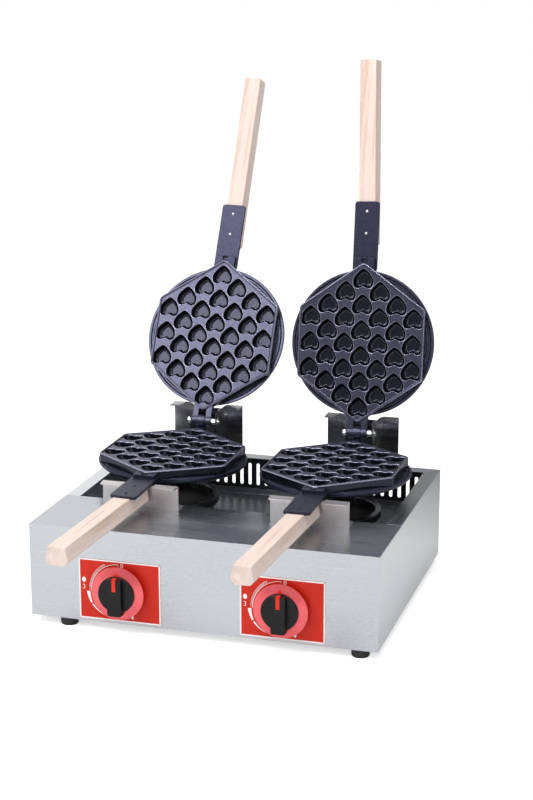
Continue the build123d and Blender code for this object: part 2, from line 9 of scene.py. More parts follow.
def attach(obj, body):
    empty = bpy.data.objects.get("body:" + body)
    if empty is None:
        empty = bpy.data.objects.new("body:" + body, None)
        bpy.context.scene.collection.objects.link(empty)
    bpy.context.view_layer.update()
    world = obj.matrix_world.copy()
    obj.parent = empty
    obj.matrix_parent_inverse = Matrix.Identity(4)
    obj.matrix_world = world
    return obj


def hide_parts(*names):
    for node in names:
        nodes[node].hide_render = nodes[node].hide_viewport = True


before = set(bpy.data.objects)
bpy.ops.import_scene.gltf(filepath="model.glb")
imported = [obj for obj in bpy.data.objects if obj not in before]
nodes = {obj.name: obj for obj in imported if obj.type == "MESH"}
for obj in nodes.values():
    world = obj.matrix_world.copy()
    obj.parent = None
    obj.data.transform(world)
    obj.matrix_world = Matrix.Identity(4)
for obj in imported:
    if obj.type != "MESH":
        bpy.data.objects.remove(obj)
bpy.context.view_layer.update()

# Lengths in the mesh functions are millimetres, as on a drawing; MM turns them into metres.
MM = 0.001
SIDES = {"left": -1, "right": 1}

# Camera, from the photograph's perspective
FOCAL_PX = 1831.05
IMAGE_H = 800.0
SENSOR = 36.0
CAMERA_AT = (0.65183, -2.14930, 0.83660)
CAMERA_PITCH = 14.776
CAMERA_YAW = 16.374

# Light that the floor gives to the camera, so that it shows as white as the background
FLOOR_GLOW = 0.55

# Places of the moving groups, as in the CAD source
MIDDLE_Y = 211.05
FOOT_H = 10.0
RIM_Z = 127.2
PAN_X = 108.5
PAN_ROLL = 1.2
HINGE_Y = 339.0
HINGE_Z = FOOT_H + 165.0
HINGE_RISE = 7.0
CLOSED_GAP = 0.4
PLATE_REACH = 119.0
LID_TILT = {"left": 25.8, "right": 12.5}

# Knobs and their plates
KNOB_X = 101.7
KNOB_Z = FOOT_H + 41.8
PLATE_T = 0.6
KNOB_GAP = 5.0
SKIRT_T = 6.0
BAR_T = 9.0
BAR_TOP = 21.8
PRINT_T = 0.09

# Casing and brackets
BODY_D = 359.0
BRACKET_T = 1.5
BRACKET_SCREW_X = 36.0
FRONT_Y = 95.0
REAR_Y = 357.0
REAR_SHIFT = 3.2
SCREW_R = 1.58
BACKING_HALF = 28.0
BACKING_LOW = RIM_Z + 14.0
BACKING_HIGH = HINGE_Z + 14.0

# Cast plates
HEX_TIP = 107.0
HEX_SIDE = 85.0
HEX_SHOULDER = 46.5
HEX_ROUND = 8.0
SLAB_T = 11.0
HEART_PITCH = 34.0
HEART_COLUMN = 23.16
HEART_DEPTH = 9.7
HEART_POINTS = 44
DISC_R = 96.5
NECK_TOP = -6.5
NECK_T = 4.0
NECK_END = 187.0
NECK_HALF = 16.5
BRIDGE_HALF = 14.0
BRIDGE_TOP = -2.0
BRIDGE_END = 113.0
KNUCKLE_R = 8.0
KNUCKLE_HALF = 5.1
LUG_R = 7.0
LUG_NEAR = 5.3
LUG_FAR = 13.2

# Handles, with each one's lean about its rivets in degrees
RIVET_AT = (145.0, 174.0)
WOOD_START = 131.0
WOOD_END = 374.0
WOOD_DROP = 9.5
WOOD_HALF_TOP = 10.9
WOOD_HALF = 13.8
WOOD_DEEP = 22.5
WOOD_CORNER = 5.0
WOOD_SKEW = {
    ("lower", "left"): -2.0, ("lower", "right"): -2.5,
    ("upper", "left"): 0.4, ("upper", "right"): 2.1,
}


# Mesh helpers

def new_object(name, mesh, body):
    piece = bpy.data.objects.new(name, mesh)
    bpy.context.scene.collection.objects.link(piece)
    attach(piece, body)
    return piece


def finish_mesh(name, bm, place, sharp=32.0):
    """Close a bmesh drawn in millimetres, put it in place and shade it smooth up to an angle."""
    bmesh.ops.recalc_face_normals(bm, faces=bm.faces)
    bm.transform(place @ Matrix.Scale(MM, 4))
    mesh = bpy.data.meshes.new(name)
    bm.to_mesh(mesh)
    bm.free()
    for polygon in mesh.polygons:
        polygon.use_smooth = True
    mesh.set_sharp_from_angle(angle=math.radians(sharp))
    return mesh


def shift(x, y, z):
    """A move given in millimetres at the real place."""
    return Matrix.Translation(Vector((x, y, z)) * MM)


def at_drawing(x, y, z):
    """A move in the CAD drawing's millimetres, whose Y = 0 is the front panel."""
    return shift(x, y - MIDDLE_Y, z)


def turn(degrees, axis):
    return Matrix.Rotation(math.radians(degrees), 4, axis)


def add_loop(bm, outline, z):
    return [bm.verts.new((x, y, z)) for x, y in outline]


def bridge(bm, first, second, index=0):
    """Join two loops of the same length with quads."""
    count = len(first)
    for i in range(count):
        j = (i + 1) % count
        face = bm.faces.new((first[i], first[j], second[j], second[i]))
        face.material_index = index


def skin(bm, loops, close_first=True, close_last=True):
    """Join loops in turn and close the ends."""
    for first, second in zip(loops, loops[1:]):
        bridge(bm, first, second)
    if close_first:
        bm.faces.new(loops[0])
    if close_last:
        bm.faces.new(loops[-1])


def lathe(bm, profile, steps):
    """Turn an open (radius, height) profile about Z; a radius of zero closes to a point."""
    rings = []
    for radius, z in profile:
        if radius < 1e-6:
            rings.append([bm.verts.new((0, 0, z))])
            continue
        ring = []
        for i in range(steps):
            angle = 2 * math.pi * i / steps
            ring.append(bm.verts.new((radius * math.cos(angle), radius * math.sin(angle), z)))
        rings.append(ring)
    for first, second in zip(rings, rings[1:]):
        if len(first) == 1 and len(second) == 1:
            continue
        if len(first) == 1 or len(second) == 1:
            hub, ring = (first[0], second) if len(first) == 1 else (second[0], first)
            for i in range(steps):
                bm.faces.new((hub, ring[i], ring[(i + 1) % steps]))
            continue
        bridge(bm, first, second)


def rounded_polygon(corners, radius, steps=6):
    """A closed outline with each corner turned into an arc of the given radius."""
    outline = []
    count = len(corners)
    for i in range(count):
        here = Vector(corners[i])
        back = (Vector(corners[i - 1]) - here).normalized()
        ahead = (Vector(corners[(i + 1) % count]) - here).normalized()
        half = back.angle(ahead) / 2
        reach = radius / math.tan(half)
        centre = here + (back + ahead).normalized() * (radius / math.sin(half))
        start = here + back * reach - centre
        end = here + ahead * reach - centre
        a0 = math.atan2(start.y, start.x)
        sweep = math.atan2(end.y, end.x) - a0
        sweep = (sweep + math.pi) % (2 * math.pi) - math.pi
        for k in range(steps + 1):
            a = a0 + sweep * k / steps
            outline.append((centre.x + radius * math.cos(a), centre.y + radius * math.sin(a)))
    return outline


def inset(outline, distance):
    """Move each point of a smooth or convex outline inwards along its normal."""
    moved = []
    count = len(outline)
    for i in range(count):
        before = Vector(outline[i - 1])
        here = Vector(outline[i])
        after = Vector(outline[(i + 1) % count])
        one = (here - before).normalized()
        two = (after - here).normalized()
        normal = Vector((-(one.y + two.y), one.x + two.x)).normalized()
        lean = max(0.35, normal.dot(Vector((-one.y, one.x))))
        moved.append(tuple(here + normal * (distance / lean)))
    return moved


def scaled(outline, factor, about=(0.0, 0.0)):
    return [
        (about[0] + (x - about[0]) * factor, about[1] + (y - about[1]) * factor)
        for x, y in outline
    ]


def moved_by(outline, dx, dy):
    return [(x + dx, y + dy) for x, y in outline]


def slab(bm, outline, low, high, edge=0.5):
    """An upright plate with rounded top and bottom edges."""
    steps = ((0.0, 1.0), (0.3, 0.3), (1.0, 0.0))
    loops = []
    for inwards, down in steps[::-1]:
        loops.append(add_loop(bm, inset(outline, edge * inwards), low + edge * down))
    for inwards, down in steps:
        loops.append(add_loop(bm, inset(outline, edge * inwards), high - edge * down))
    skin(bm, loops)


def rod(bm, radius, low, high, edge, steps):
    """A round bar along Z with softened ends."""
    lathe(bm, [
        (0, low), (radius - edge, low), (radius - 0.3 * edge, low + 0.3 * edge),
        (radius, low + edge), (radius, high - edge), (radius - 0.3 * edge, high - 0.3 * edge),
        (radius - edge, high), (0, high),
    ], steps)


def add_part(bm, part, place):
    """Move a part's own bmesh into place and add it to another."""
    part.transform(place)
    mesh = bpy.data.meshes.new("part")
    part.to_mesh(mesh)
    part.free()
    bm.from_mesh(mesh)
    bpy.data.meshes.remove(mesh)


def face_with_holes(bm, outer, holes, z):
    """A flat face at one height between an outer loop of vertices and inner loops."""
    points = []
    rings = []
    verts = []
    for ring in [outer] + holes:
        rings.append(list(range(len(points), len(points) + len(ring))))
        points += [Vector((v.co.x, v.co.y)) for v in ring]
        verts += list(ring)
    result = delaunay_2d_cdt(points, [], rings, 1, 1e-5)
    sources = result[3]
    for face, origins in zip(result[2], result[5]):
        if list(origins) != [0]:
            continue
        corners = []
        for index in face:
            source = sources[index]
            corners.append(verts[source[0]] if source else bm.verts.new((*result[0][index], z)))
        bm.faces.new(corners)


def merged(name, builder, place, body, surface, sharp=32.0):
    """Make one piece from a function that draws into a bmesh."""
    bm = bmesh.new()
    builder(bm)
    piece = new_object(name, finish_mesh(name, bm, place, sharp), body)
    surfaces = surface if isinstance(surface, tuple) else (surface,)
    for each in surfaces:
        piece.data.materials.append(each)
    normals = piece.modifiers.new("normals", "WEIGHTED_NORMAL")
    normals.keep_sharp = True
    return piece


# Material helpers

class Graph:
    """The nodes of a new material, or of the world, and short ways to add and join them."""

    def __init__(self, owner):
        if isinstance(owner, str):
            owner = bpy.data.materials.new(owner)
            owner.use_nodes = True
        self.material = owner
        self.tree = owner.node_tree
        kinds = {node.type: node for node in self.tree.nodes}
        self.shader = kinds.get("BSDF_PRINCIPLED") or kinds["BACKGROUND"]

    def feed(self, node, socket, value):
        if isinstance(value, bpy.types.NodeSocket):
            self.tree.links.new(value, node.inputs[socket])
        else:
            node.inputs[socket].default_value = value

    def add(self, kind, inputs=None, **settings):
        node = self.tree.nodes.new(kind)
        for name, value in settings.items():
            setattr(node, name, value)
        for socket, value in (inputs or {}).items():
            self.feed(node, socket, value)
        return node

    def set(self, **sockets):
        for name, value in sockets.items():
            self.feed(self.shader, name.replace("_", " "), value)

    def coordinates(self, scale=(1, 1, 1)):
        source = self.add("ShaderNodeTexCoord")
        mapping = self.add("ShaderNodeMapping", {
            "Vector": source.outputs["Object"], "Scale": scale,
        })
        return mapping.outputs[0]

    def noise(self, vector, scale, detail=3.0, roughness=0.5, distortion=0.0):
        node = self.add("ShaderNodeTexNoise", {
            "Vector": vector, "Scale": scale, "Detail": detail, "Roughness": roughness,
            "Distortion": distortion,
        })
        return node.outputs["Fac"]

    def ramp(self, value, stops):
        """A colour ramp from (position, colour) stops; a number stands for a grey."""
        node = self.add("ShaderNodeValToRGB", {"Fac": value})
        elements = node.color_ramp.elements
        while len(elements) < len(stops):
            elements.new(0.5)
        for element, (position, colour) in zip(elements, stops):
            element.position = position
            if isinstance(colour, (int, float)):
                colour = (colour, colour, colour)
            element.color = (*colour, 1)
        return node.outputs["Color"]

    def span(self, value, low, high, start=0.0, end=1.0):
        """Map a value from start..end to low..high."""
        node = self.add("ShaderNodeMapRange", {
            "Value": value, "From Min": start, "From Max": end, "To Min": low, "To Max": high,
        })
        return node.outputs["Result"]

    def mix(self, factor, one, two, blend="MIX"):
        node = self.add("ShaderNodeMix", data_type="RGBA", blend_type=blend)
        self.feed(node, 0, factor)
        self.feed(node, 6, one)
        self.feed(node, 7, two)
        return node.outputs[2]

    def blend(self, factor, one, two):
        node = self.add("ShaderNodeMix", data_type="FLOAT")
        self.feed(node, 0, factor)
        self.feed(node, 2, one)
        self.feed(node, 3, two)
        return node.outputs[0]

    def maths(self, operation, one, two=0.0):
        node = self.add("ShaderNodeMath", operation=operation)
        self.feed(node, 0, one)
        self.feed(node, 1, two)
        return node.outputs[0]

    def bump(self, height, strength, distance, normal=None):
        node = self.add("ShaderNodeBump", {
            "Height": height, "Strength": strength, "Distance": distance,
        })
        if normal is not None:
            self.feed(node, "Normal", normal)
        return node.outputs[0]


def srgb(red, green, blue):
    """A linear colour from 0..255 screen values."""
    linear = []
    for value in (red, green, blue):
        value /= 255
        linear.append(value / 12.92 if value <= 0.04045 else ((value + 0.055) / 1.055) ** 2.4)
    return (*linear, 1.0)


# Materials

def brushed_steel(name, colour, roughness, along):
    """Stainless sheet: long fine scratches along one axis and slow changes of gloss."""
    g = Graph(name)
    spread = 0.05
    scale = [900.0, 900.0, 900.0]
    scale["XYZ".index(along)] = 9.0
    scratches = g.noise(g.coordinates(scale=tuple(scale)), 1.0, 4.0, 0.6)
    clouds = g.noise(g.coordinates(), 9.0, 3.0, 0.5)
    tone = g.ramp(scratches, [(0.3, 0.94), (0.7, 1.0)])
    tone = g.mix(1.0, tone, g.ramp(clouds, [(0.3, 0.95), (0.7, 1.0)]), "MULTIPLY")
    g.set(Base_Color=g.mix(1.0, tone, srgb(*colour), "MULTIPLY"))
    gloss = g.maths("ADD", g.span(scratches, -spread, spread), g.span(clouds, -spread, spread))
    g.set(Roughness=g.maths("ADD", gloss, roughness))
    g.set(Metallic=1.0, Anisotropic=0.35)
    g.set(Normal=g.bump(scratches, 0.12, 0.00008))
    return g.material


def rear_steel():
    """The back panel: brushed outside, with a painted shade on the side that faces the burners."""
    material = brushed_steel("rear_steel", (206, 210, 214), 0.30, "X")
    g = Graph(material)
    facing = g.add("ShaderNodeSeparateXYZ", {
        "Vector": g.add("ShaderNodeNewGeometry").outputs["Normal"],
    }).outputs["Y"]
    # Painted shade: faces turned to the front, the panel's inner side, are mixed towards a dark
    # grey.
    painted_shade_inside = g.span(facing, 1.0, 0.0, -0.9, -0.5)
    unshaded_steel = g.shader.inputs["Base Color"].links[0].from_socket
    g.set(Base_Color=g.mix(painted_shade_inside, unshaded_steel, srgb(92, 94, 104)))
    return material


def coated_iron(name, dark, light, low, high, metallic):
    """Dark satin non-stick coating on a casting: fine orange peel and a little sparkle."""
    g = Graph(name)
    position = g.coordinates()
    grain = g.noise(position, 900.0, 2.0, 0.6)
    peel = g.noise(position, 160.0, 3.0, 0.55)
    clouds = g.noise(position, 14.0, 2.0)
    g.set(Base_Color=g.mix(g.ramp(grain, [(0.35, 0.0), (0.75, 1.0)]), srgb(*dark), srgb(*light)))
    g.set(Roughness=g.maths("ADD", g.span(peel, low, high), g.span(clouds, -0.03, 0.03)))
    g.set(Metallic=metallic)
    g.set(Normal=g.bump(grain, 0.16, 0.0002, g.bump(peel, 0.10, 0.0004)))
    return g.material


def burner_iron():
    """Black cast iron with a coarse sand-cast skin."""
    g = Graph("burner_iron")
    position = g.coordinates()
    sand = g.noise(position, 500.0, 4.0, 0.65)
    clouds = g.noise(position, 30.0, 3.0)
    g.set(Base_Color=g.mix(clouds, srgb(16, 16, 17), srgb(34, 34, 36)))
    g.set(Roughness=g.span(sand, 0.5, 0.75), Metallic=0.2)
    g.set(Normal=g.bump(sand, 0.35, 0.0005))
    return g.material


def beech(name, rotation, location):
    """Pale beech in the handle's own frame, whose grain runs along Y."""
    g = Graph(name)
    source = g.add("ShaderNodeTexCoord").outputs["Object"]
    frame_node = g.add("ShaderNodeMapping", {
        "Vector": source, "Location": location, "Rotation": rotation,
    }, vector_type="TEXTURE")
    local = frame_node.outputs[0]
    stretched = g.add("ShaderNodeMapping", {"Vector": local, "Scale": (60.0, 3.2, 60.0)}).outputs[0]
    rings = g.noise(stretched, 1.0, 5.0, 0.62, 0.35)
    fine = g.add("ShaderNodeMapping", {"Vector": local, "Scale": (900.0, 28.0, 900.0)}).outputs[0]
    pores = g.noise(fine, 1.0, 3.0, 0.6)
    wide = g.add("ShaderNodeMapping", {"Vector": local, "Scale": (26.0, 2.0, 26.0)}).outputs[0]
    bands = g.noise(wide, 1.0, 2.0, 0.5, 0.8)
    colour = g.ramp(rings, [
        (0.28, srgb(196, 164, 146)[:3]), (0.42, srgb(222, 201, 190)[:3]),
        (0.62, srgb(232, 216, 210)[:3]), (0.8, srgb(228, 209, 201)[:3]),
    ])
    colour = g.mix(g.ramp(bands, [(0.5, 0.0), (0.8, 0.35)]), colour, srgb(216, 188, 174))
    colour = g.mix(g.ramp(pores, [(0.62, 0.0), (0.76, 0.3)]), colour, srgb(186, 156, 140))
    g.set(Base_Color=colour, Roughness=g.span(pores, 0.5, 0.66))
    g.set(Normal=g.bump(pores, 0.15, 0.0002, g.bump(rings, 0.08, 0.0004)))
    return g.material


def zinc():
    g = Graph("zinc")
    position = g.coordinates()
    clouds = g.noise(position, 260.0, 3.0)
    g.set(Base_Color=g.mix(clouds, srgb(205, 208, 214), srgb(236, 238, 240)))
    g.set(Roughness=g.span(clouds, 0.18, 0.32), Metallic=1.0)
    g.set(Normal=g.bump(g.noise(position, 700.0, 2.0), 0.1, 0.0001))
    return g.material


def brass():
    g = Graph("brass")
    position = g.coordinates()
    clouds = g.noise(position, 120.0, 3.0)
    g.set(Base_Color=g.mix(clouds, srgb(176, 138, 70), srgb(206, 170, 98)))
    g.set(Roughness=g.span(clouds, 0.22, 0.4), Metallic=1.0)
    g.set(Normal=g.bump(g.noise(g.coordinates(scale=(900, 40, 900)), 1.0), 0.15, 0.0001))
    return g.material


def rubber():
    g = Graph("black_rubber")
    position = g.coordinates()
    grain = g.noise(position, 1200.0, 2.0)
    clouds = g.noise(position, 60.0, 3.0)
    g.set(Base_Color=g.mix(clouds, srgb(20, 20, 21), srgb(40, 40, 41)))
    g.set(Roughness=g.span(clouds, 0.55, 0.75))
    g.set(Normal=g.bump(grain, 0.2, 0.0002))
    return g.material


def black_plastic():
    g = Graph("black_plastic")
    position = g.coordinates()
    grain = g.noise(position, 1500.0, 2.0)
    clouds = g.noise(position, 80.0, 3.0)
    g.set(Base_Color=g.mix(clouds, srgb(8, 8, 9), srgb(17, 17, 18)))
    g.set(Roughness=g.span(clouds, 0.32, 0.45))
    g.shader.inputs["Specular IOR Level"].default_value = 0.3
    g.set(Normal=g.bump(grain, 0.15, 0.0001))
    return g.material


def red_paint(name, dark, light, roughness):
    """Red print or pointer: slow changes of tone and a faint orange peel."""
    g = Graph(name)
    position = g.coordinates()
    clouds = g.noise(position, 70.0, 3.0)
    peel = g.noise(position, 900.0, 2.0)
    g.set(Base_Color=g.mix(clouds, srgb(*dark), srgb(*light)))
    g.set(Roughness=g.span(peel, roughness - 0.05, roughness + 0.05))
    g.shader.inputs["Specular IOR Level"].default_value = 0.25
    g.set(Normal=g.bump(peel, 0.08, 0.0001))
    return g.material


def red_metallic():
    """Red metallic lacquer with fine flake."""
    g = Graph("red_metallic")
    position = g.coordinates()
    flake = g.add("ShaderNodeTexVoronoi", {"Vector": position, "Scale": 1600.0})
    clouds = g.noise(position, 60.0, 2.0)
    base = g.mix(clouds, srgb(234, 80, 88), srgb(245, 106, 112))
    g.set(Base_Color=g.mix(g.ramp(flake.outputs["Distance"], [(0.1, 0.35), (0.5, 0.0)]),
                           base, srgb(252, 176, 176)))
    g.set(Roughness=g.span(clouds, 0.30, 0.38), Metallic=0.7, Coat_Weight=0.4)
    g.set(Normal=g.bump(flake.outputs["Distance"], 0.1, 0.0001))
    return g.material


def white_print():
    g = Graph("white_print")
    position = g.coordinates()
    peel = g.noise(position, 900.0, 2.0)
    g.set(Base_Color=g.mix(g.noise(position, 60.0), srgb(238, 238, 236), srgb(250, 250, 248)))
    g.set(Roughness=g.span(peel, 0.35, 0.5))
    g.set(Normal=g.bump(peel, 0.08, 0.0001))
    return g.material


def ceramic():
    g = Graph("ceramic")
    position = g.coordinates()
    clouds = g.noise(position, 200.0, 3.0)
    g.set(Base_Color=g.mix(clouds, srgb(222, 218, 208), srgb(240, 238, 230)))
    g.set(Roughness=g.span(clouds, 0.2, 0.35))
    g.set(Normal=g.bump(clouds, 0.1, 0.0001))
    return g.material


def floor_paint():
    """A white floor that glows to the camera alone; to glossy rays alone it is painted darker
    towards the back, a painted shade seen in the metal's reflections.
    """
    g = Graph("floor_paint")
    position = g.coordinates()
    white = g.mix(g.noise(position, 3.0), srgb(243, 243, 243), srgb(247, 247, 247))
    path = g.add("ShaderNodeLightPath")
    depth = g.add("ShaderNodeSeparateXYZ", {"Vector": position}).outputs["Y"]
    # Painted shade: to glossy rays the floor is mixed towards dark grey further back.
    painted_dark_reflection = g.span(depth, 0.0, 0.6, 0.2, 0.55)
    reflection_shade = g.maths("MULTIPLY", path.outputs["Is Glossy Ray"], painted_dark_reflection)
    g.set(Base_Color=g.mix(reflection_shade, white, srgb(60, 62, 68)), Roughness=0.9)
    g.shader.inputs["Specular IOR Level"].default_value = 0.0
    glow = g.add("ShaderNodeEmission", {
        "Color": (1, 1, 1, 1),
        "Strength": g.maths("MULTIPLY", path.outputs["Is Camera Ray"], FLOOR_GLOW),
    })
    total = g.add("ShaderNodeAddShader")
    g.feed(total, 0, g.shader.outputs[0])
    g.feed(total, 1, glow.outputs[0])
    output = g.tree.nodes["Material Output"]
    g.feed(output, "Surface", total.outputs[0])
    return g.material


front_steel = brushed_steel("front_steel", (198, 202, 207), 0.28, "X")
# The side panels' copy of the brushed steel, made lighter than the front's: painted light.
side_steel = brushed_steel("side_steel", (224, 227, 230), 0.24, "Y")
bright_steel = brushed_steel("bright_steel", (200, 200, 200), 0.20, "X")
seat_steel = brushed_steel("seat_steel", (226, 222, 222), 0.34, "X")
ring_steel = brushed_steel("ring_steel", (140, 142, 146), 0.16, "X")
tray_steel = brushed_steel("tray_steel", (166, 170, 176), 0.34, "X")
iron = coated_iron("coated_iron", (68, 69, 86), (96, 97, 117), 0.27, 0.37, 0.85)
# A darker copy of the coating: the necks' own darker tone, and a painted shade on the pans' discs.
neck_iron = coated_iron("neck_iron", (44, 45, 62), (68, 69, 88), 0.32, 0.44, 0.8)
# A darker copy of the coating for the pockets and the slab's sides: the darker tone is a painted
# shade; the lower roughness gives crisp highlights.
pocket_iron = coated_iron("pocket_iron", (42, 43, 53), (56, 57, 69), 0.12, 0.17, 0.85)
# A lighter copy of the coating on the pocket lips and the rim's outer edge: a painted highlight.
edge_iron = coated_iron("edge_iron", (144, 144, 166), (172, 172, 192), 0.24, 0.32, 0.9)
burner_black = burner_iron()
zinc_plate = zinc()
brass_metal = brass()
foot_rubber = rubber()
knob_black = black_plastic()
pointer_red = red_paint("pointer_red", (226, 40, 26), (240, 56, 38), 0.35)
print_red = red_paint("print_red", (196, 34, 17), (211, 43, 24), 0.38)
skirt_red = red_metallic()
print_white = white_print()
glazed = ceramic()


# CAD nodes that keep their own mesh

def dress(node, surface, edge=0.0):
    """Give a CAD node its material and, where it has sharp edges, a small bevel."""
    piece = nodes[node]
    if not piece.material_slots:
        piece.data.materials.append(surface)
    for place in piece.material_slots:
        place.material = surface
    if edge:
        weld = piece.modifiers.new("weld", "WELD")
        weld.merge_threshold = 0.000001
        flat = piece.modifiers.new("flat", "DECIMATE")
        flat.decimate_type = "DISSOLVE"
        flat.angle_limit = math.radians(0.6)
        bevel = piece.modifiers.new("bevel", "BEVEL")
        bevel.width = edge * MM
        bevel.segments = 2
        bevel.limit_method = "ANGLE"
        bevel.angle_limit = math.radians(40)
        normals = piece.modifiers.new("normals", "WEIGHTED_NORMAL")
        normals.keep_sharp = True


def dress_casing():
    dress("front_panel", front_steel, 0.5)
    dress("side_panel_left", side_steel, 0.4)
    dress("side_panel_right", side_steel, 0.4)
    dress("rear_panel", rear_steel(), 0.3)
    dress("base_plate", front_steel)
    dress("burner_tray", tray_steel, 0.3)
    dress("rubber_feet", foot_rubber)
    dress("gas_rail", zinc_plate)
    dress("gas_inlet", brass_metal, 0.4)


def dress_side(side):
    dress(f"front_bracket_{side}", seat_steel, 0.4)
    dress(f"rear_bracket_{side}", bright_steel, 0.4)
    dress(f"burner_bowl_{side}", burner_black)
    dress(f"burner_ring_{side}", ring_steel, 0.2)
    dress(f"venturi_{side}", bright_steel)
    dress(f"igniter_{side}", glazed)
    dress(f"injector_{side}", brass_metal)
    dress(f"gas_pipe_{side}", zinc_plate)
    dress(f"valve_body_{side}", brass_metal, 0.3)
    dress(f"valve_stem_{side}", zinc_plate)
    dress(f"valve_plug_{side}", brass_metal)
    dress(f"control_plate_{side}", print_red, 0.1)
    dress(f"knob_skirt_{side}", skirt_red)
    dress(f"knob_grip_{side}", knob_black, 0.5)
    dress(f"knob_pointer_{side}", pointer_red, 0.1)
    dress(f"hinge_bolt_{side}", zinc_plate, 0.3)
    dress(f"hinge_nut_{side}", zinc_plate, 0.3)


# Screws and prints

def draw_screw(bm, place):
    """A pan-head screw with a cross recess, its head standing on Z = 0."""
    part = bmesh.new()
    shank = SCREW_R
    steps = 28
    profile = [
        (0, -4.0), (shank * 0.5, -4.0), (shank, -3.2), (shank, 0), (2 * shank, 0),
        (2 * shank, 0.75), (1.85 * shank, 1.2), (1.5 * shank, 1.5), (1.2 * shank, 1.62),
    ]
    lathe(part, profile, steps)
    part.verts.ensure_lookup_table()
    rim = part.verts[-steps:]
    cross = []
    for quarter in range(4):
        angle = math.radians(90 * quarter)
        for x, y in ((0.3, 0.3), (1.3, 0.3), (1.3, -0.3)):
            cross.append((x * math.cos(angle) + y * math.sin(angle),
                          x * math.sin(angle) - y * math.cos(angle)))
    cross = cross[1:] + cross[:1]
    top = add_loop(part, cross, 1.62)
    floor = add_loop(part, scaled(cross, 0.72), 0.75)
    bridge(part, top, floor)
    part.faces.new(floor)
    face_with_holes(part, list(rim), [top], 1.62)
    add_part(bm, part, place)


def draw_casing_screws(bm):
    low, high = FOOT_H + 8.0, FOOT_H + 50.0
    for number, (x, z) in enumerate(
            ((-205.0, low), (0.0, low), (205.0, low), (-205.0, high), (205.0, high))):
        place = Matrix.Translation((x, BODY_D - MIDDLE_Y, z)) @ turn(-90, "X")
        draw_screw(bm, place @ turn(17 * number, "Z"))


def draw_bracket_screws(bm):
    number = 0
    for sign in SIDES.values():
        for way in (-1, 1):
            out = sign * PAN_X + way * BRACKET_SCREW_X
            for x, y in ((out, FRONT_Y + 12.0), (out + REAR_SHIFT, REAR_Y - 8.0)):
                number += 1
                place = Matrix.Translation((x, y - MIDDLE_Y, RIM_Z + BRACKET_T))
                draw_screw(bm, place @ turn(23 * number, "Z"))


def build_screws():
    for node, draw in (("casing_screws", draw_casing_screws),
                       ("bracket_screws", draw_bracket_screws)):
        piece = merged(f"{node}_heads", draw, Matrix.Identity(4), "casing", zinc_plate)
        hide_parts(node)


def draw_hinge_backing(bm):
    """The sheet behind the hinge, up to just below the disc of the open lid.

    It lies within the thickness of the bracket's own sheet.
    """
    half, low, high = BACKING_HALF, BACKING_LOW, BACKING_HIGH
    corner_x, corner_z = 4.0, 3.0
    outline = [
        (half, low), (half, high - corner_z), (half - corner_x, high), (corner_x - half, high),
        (-half, high - corner_z), (-half, low),
    ]
    middle = BRACKET_T / 2
    loops = []
    for depth in (middle - 0.65, middle + 0.65):
        y = REAR_Y - MIDDLE_Y + depth
        loops.append([bm.verts.new((x, y, z)) for x, z in outline])
    skin(bm, loops)


def build_backing():
    for side, sign in SIDES.items():
        place = shift(sign * PAN_X + REAR_SHIFT, 0, 0)
        merged(
            f"hinge_backing_{side}", draw_hinge_backing, place, "casing",
            bright_steel)


def stroke(bm, points, widths):
    """A flat printed line through points, with a width at each."""
    loops = []
    count = len(points)
    for i in range(count):
        before = Vector(points[max(i - 1, 0)])
        after = Vector(points[min(i + 1, count - 1)])
        along = (after - before).normalized()
        side_step = Vector((-along.y, along.x)) * widths[i] / 2
        one, two = Vector(points[i]) + side_step, Vector(points[i]) - side_step
        loops.append([
            bm.verts.new((one.x, one.y, 0.0)), bm.verts.new((two.x, two.y, 0.0)),
            bm.verts.new((two.x, two.y, PRINT_T)), bm.verts.new((one.x, one.y, PRINT_T)),
        ])
    skin(bm, loops)


def arc_points(centre, radius, start, end, steps):
    """Points on an arc whose radius may change steadily from its start to its end."""
    points = []
    for k in range(steps + 1):
        t = k / steps
        angle = math.radians(start + (end - start) * t)
        reach = radius[0] + (radius[1] - radius[0]) * t
        points.append((centre[0] + reach * math.cos(angle), centre[1] + reach * math.sin(angle)))
    return points


def draw_flame(bm, x, y, height):
    """A small drop-shaped flame sign."""
    outline = []
    for k in range(20):
        angle = 2 * math.pi * k / 20
        wide = 0.36 * math.sin(angle) * (1 - 0.45 * math.cos(angle))
        outline.append((x + height * wide, y - height * 0.5 * math.cos(angle)
                        + height * 0.10 * math.cos(2 * angle)))
    low = add_loop(bm, outline, 0.0)
    high = add_loop(bm, outline, PRINT_T)
    skin(bm, [low, high])


def draw_prints(bm):
    """The white border, the scale round the knob, two flame signs and plain numbers."""
    half_w, half_h, line = 52.0, 38.25, 1.7
    outer = rounded_polygon(
        [(half_w, half_h), (-half_w, half_h), (-half_w, -half_h), (half_w, -half_h)], 0.6, 2)
    inner = inset(outer, line)
    loops = [add_loop(bm, outer, 0.0), add_loop(bm, outer, PRINT_T),
             add_loop(bm, inner, PRINT_T), add_loop(bm, inner, 0.0)]
    skin(bm, loops + loops[:1], close_first=False, close_last=False)

    hub = (0.0, -1.0)
    scale = arc_points(hub, (35.0, 36.6), 93, 182, 30)
    stroke(bm, scale, [0.55 + 0.5 * k / 30 for k in range(31)])
    for k in range(17):
        angle = 122 + 3.3 * k
        foot = arc_points(hub, (36.4, 36.4), angle, angle, 1)[0]
        tip = arc_points(hub, (38.9, 38.9), angle - 2.6, angle, 1)[0]
        stroke(bm, [foot, tip], [0.55, 0.55])
    stroke(bm, arc_points(hub, (38.9, 38.6), 121, 180, 20), [0.4] * 21)
    wedge = arc_points(hub, (40.0, 39.6), 183, 205, 10)
    stroke(bm, wedge, [4.6 - 0.24 * k for k in range(11)])
    taper = arc_points(hub, (39.4, 36.8), 208, 236, 12)
    stroke(bm, taper, [2.0 - 0.13 * k for k in range(13)])
    draw_flame(bm, -45.6, 10.4, 6.4)
    draw_flame(bm, 15.8, -32.2, 4.4)
    draw_digits(bm)


